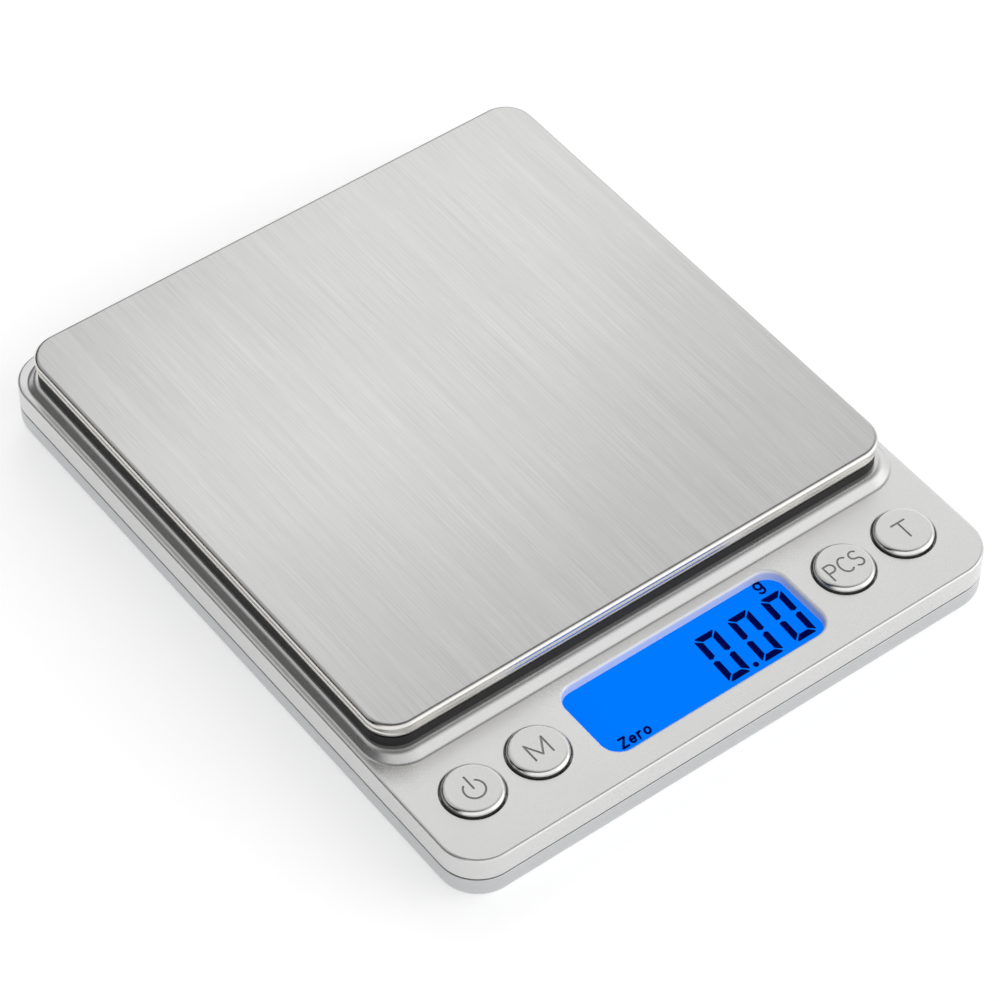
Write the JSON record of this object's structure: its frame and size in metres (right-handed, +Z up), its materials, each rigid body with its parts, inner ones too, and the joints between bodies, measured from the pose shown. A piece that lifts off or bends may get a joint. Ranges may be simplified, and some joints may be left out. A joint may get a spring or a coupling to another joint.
{
  "type": "digital gram scale",
  "caption": "Slim pocket weighing scale: brushed steel platform on a sprung carrier, silver housing, blue backlit display, round push buttons and a sliding battery door underneath.",
  "frame": {"origin": "centre of the housing's outline, on the plane that the feet stand on", "axes": "+Z up, -Y towards the display edge, +X to the right of a user facing the display"},
  "size_m": [0.105, 0.1272, 0.017],
  "materials": {
    "silver_upper": "satin silver paint",
    "silver_lower": "satin silver paint",
    "brushed_steel": "brushed front to back",
    "black_plastic": "fine moulded texture",
    "satin_button": "satin silver, polished edge",
    "blue_display": "backlit liquid crystal",
    "light_guide": "clear moulded",
    "white_plastic": "moulded",
    "grey_elastomer": "striped conductive rubber",
    "green_board": "solder mask",
    "black_epoxy": "moulded",
    "cell_aluminium": "milled",
    "gauge_foil": "polyimide film",
    "adhesive_foam": "foam tape",
    "plated_steel": "zinc or nickel plated",
    "coin_steel": "rolled",
    "foot_rubber": "matt",
    "grey_cable": "sleeved",
    "red_wire": "insulated",
    "black_wire": "insulated"
  },
  "bodies": {
    "housing": {"upper_housing": "silver_upper", "lower_housing": "silver_lower", "lcd_panel": "blue_display", "lcd_backlight": "light_guide", "lcd_holder": "white_plastic", "zebra_strip": "grey_elastomer", "main_board": "green_board", "processor_blob": "black_epoxy", "crystal_can": "plated_steel", "switch_power": "black_epoxy", "switch_mode": "black_epoxy", "switch_pieces": "black_epoxy", "switch_tare": "black_epoxy", "load_cell": "cell_aluminium", "strain_gauge_top": "gauge_foil", "strain_gauge_bottom": "gauge_foil", "load_cell_spacer": "cell_aluminium", "cell_screw_inner": "plated_steel", "cell_screw_outer": "plated_steel", "coin_cell_left": "coin_steel", "coin_cell_right": "coin_steel", "battery_contact_left": "plated_steel", "battery_contact_right": "plated_steel", "load_cell_cable": "grey_cable", "battery_lead_left": "black_wire", "battery_lead_right": "red_wire", "foot_front_left": "foot_rubber", "foot_front_right": "foot_rubber", "foot_back_left": "foot_rubber", "foot_back_right": "foot_rubber", "overload_stop_front_left": "plated_steel", "overload_stop_front_right": "plated_steel", "overload_stop_back_left": "plated_steel", "overload_stop_back_right": "plated_steel", "housing_screw_front_left": "plated_steel", "housing_screw_front_right": "plated_steel", "housing_screw_back_left": "plated_steel", "housing_screw_back_right": "plated_steel"},
    "platform": {"steel_platform": "brushed_steel", "platform_carrier": "black_plastic", "adhesive_sheet": "adhesive_foam", "transfer_screw_inner": "plated_steel", "transfer_screw_outer": "plated_steel"},
    "button_power": {"button_power": "satin_button", "switch_plunger_power": "black_epoxy"},
    "button_mode": {"button_mode": "satin_button", "switch_plunger_mode": "black_epoxy"},
    "button_pieces": {"button_pieces": "satin_button", "switch_plunger_pieces": "black_epoxy"},
    "button_tare": {"button_tare": "satin_button", "switch_plunger_tare": "black_epoxy"},
    "battery_door": {"battery_door": "silver_lower", "battery_link": "plated_steel"}
  },
  "joints": [
    {"name": "platform_press", "type": "slide", "parent": "housing", "child": "platform", "axis": [0, 0, -1], "range_m": [0, 0.0004], "stiffness_N_per_m": 15000, "springref_m": -0.0001},
    {"name": "power_press", "type": "slide", "parent": "housing", "child": "button_power", "axis": [0, 0, -1], "range_m": [0, 0.0004], "stiffness_N_per_m": 1500, "springref_m": -0.0003},
    {"name": "mode_press", "type": "slide", "parent": "housing", "child": "button_mode", "axis": [0, 0, -1], "range_m": [0, 0.0004], "stiffness_N_per_m": 1500, "springref_m": -0.0003},
    {"name": "pieces_press", "type": "slide", "parent": "housing", "child": "button_pieces", "axis": [0, 0, -1], "range_m": [0, 0.0004], "stiffness_N_per_m": 1500, "springref_m": -0.0003},
    {"name": "tare_press", "type": "slide", "parent": "housing", "child": "button_tare", "axis": [0, 0, -1], "range_m": [0, 0.0004], "stiffness_N_per_m": 1500, "springref_m": -0.0003},
    {"name": "battery_door_slide", "type": "slide", "parent": "housing", "child": "battery_door", "axis": [0, 1, 0], "range_m": [0, 0.01]}
  ]
}
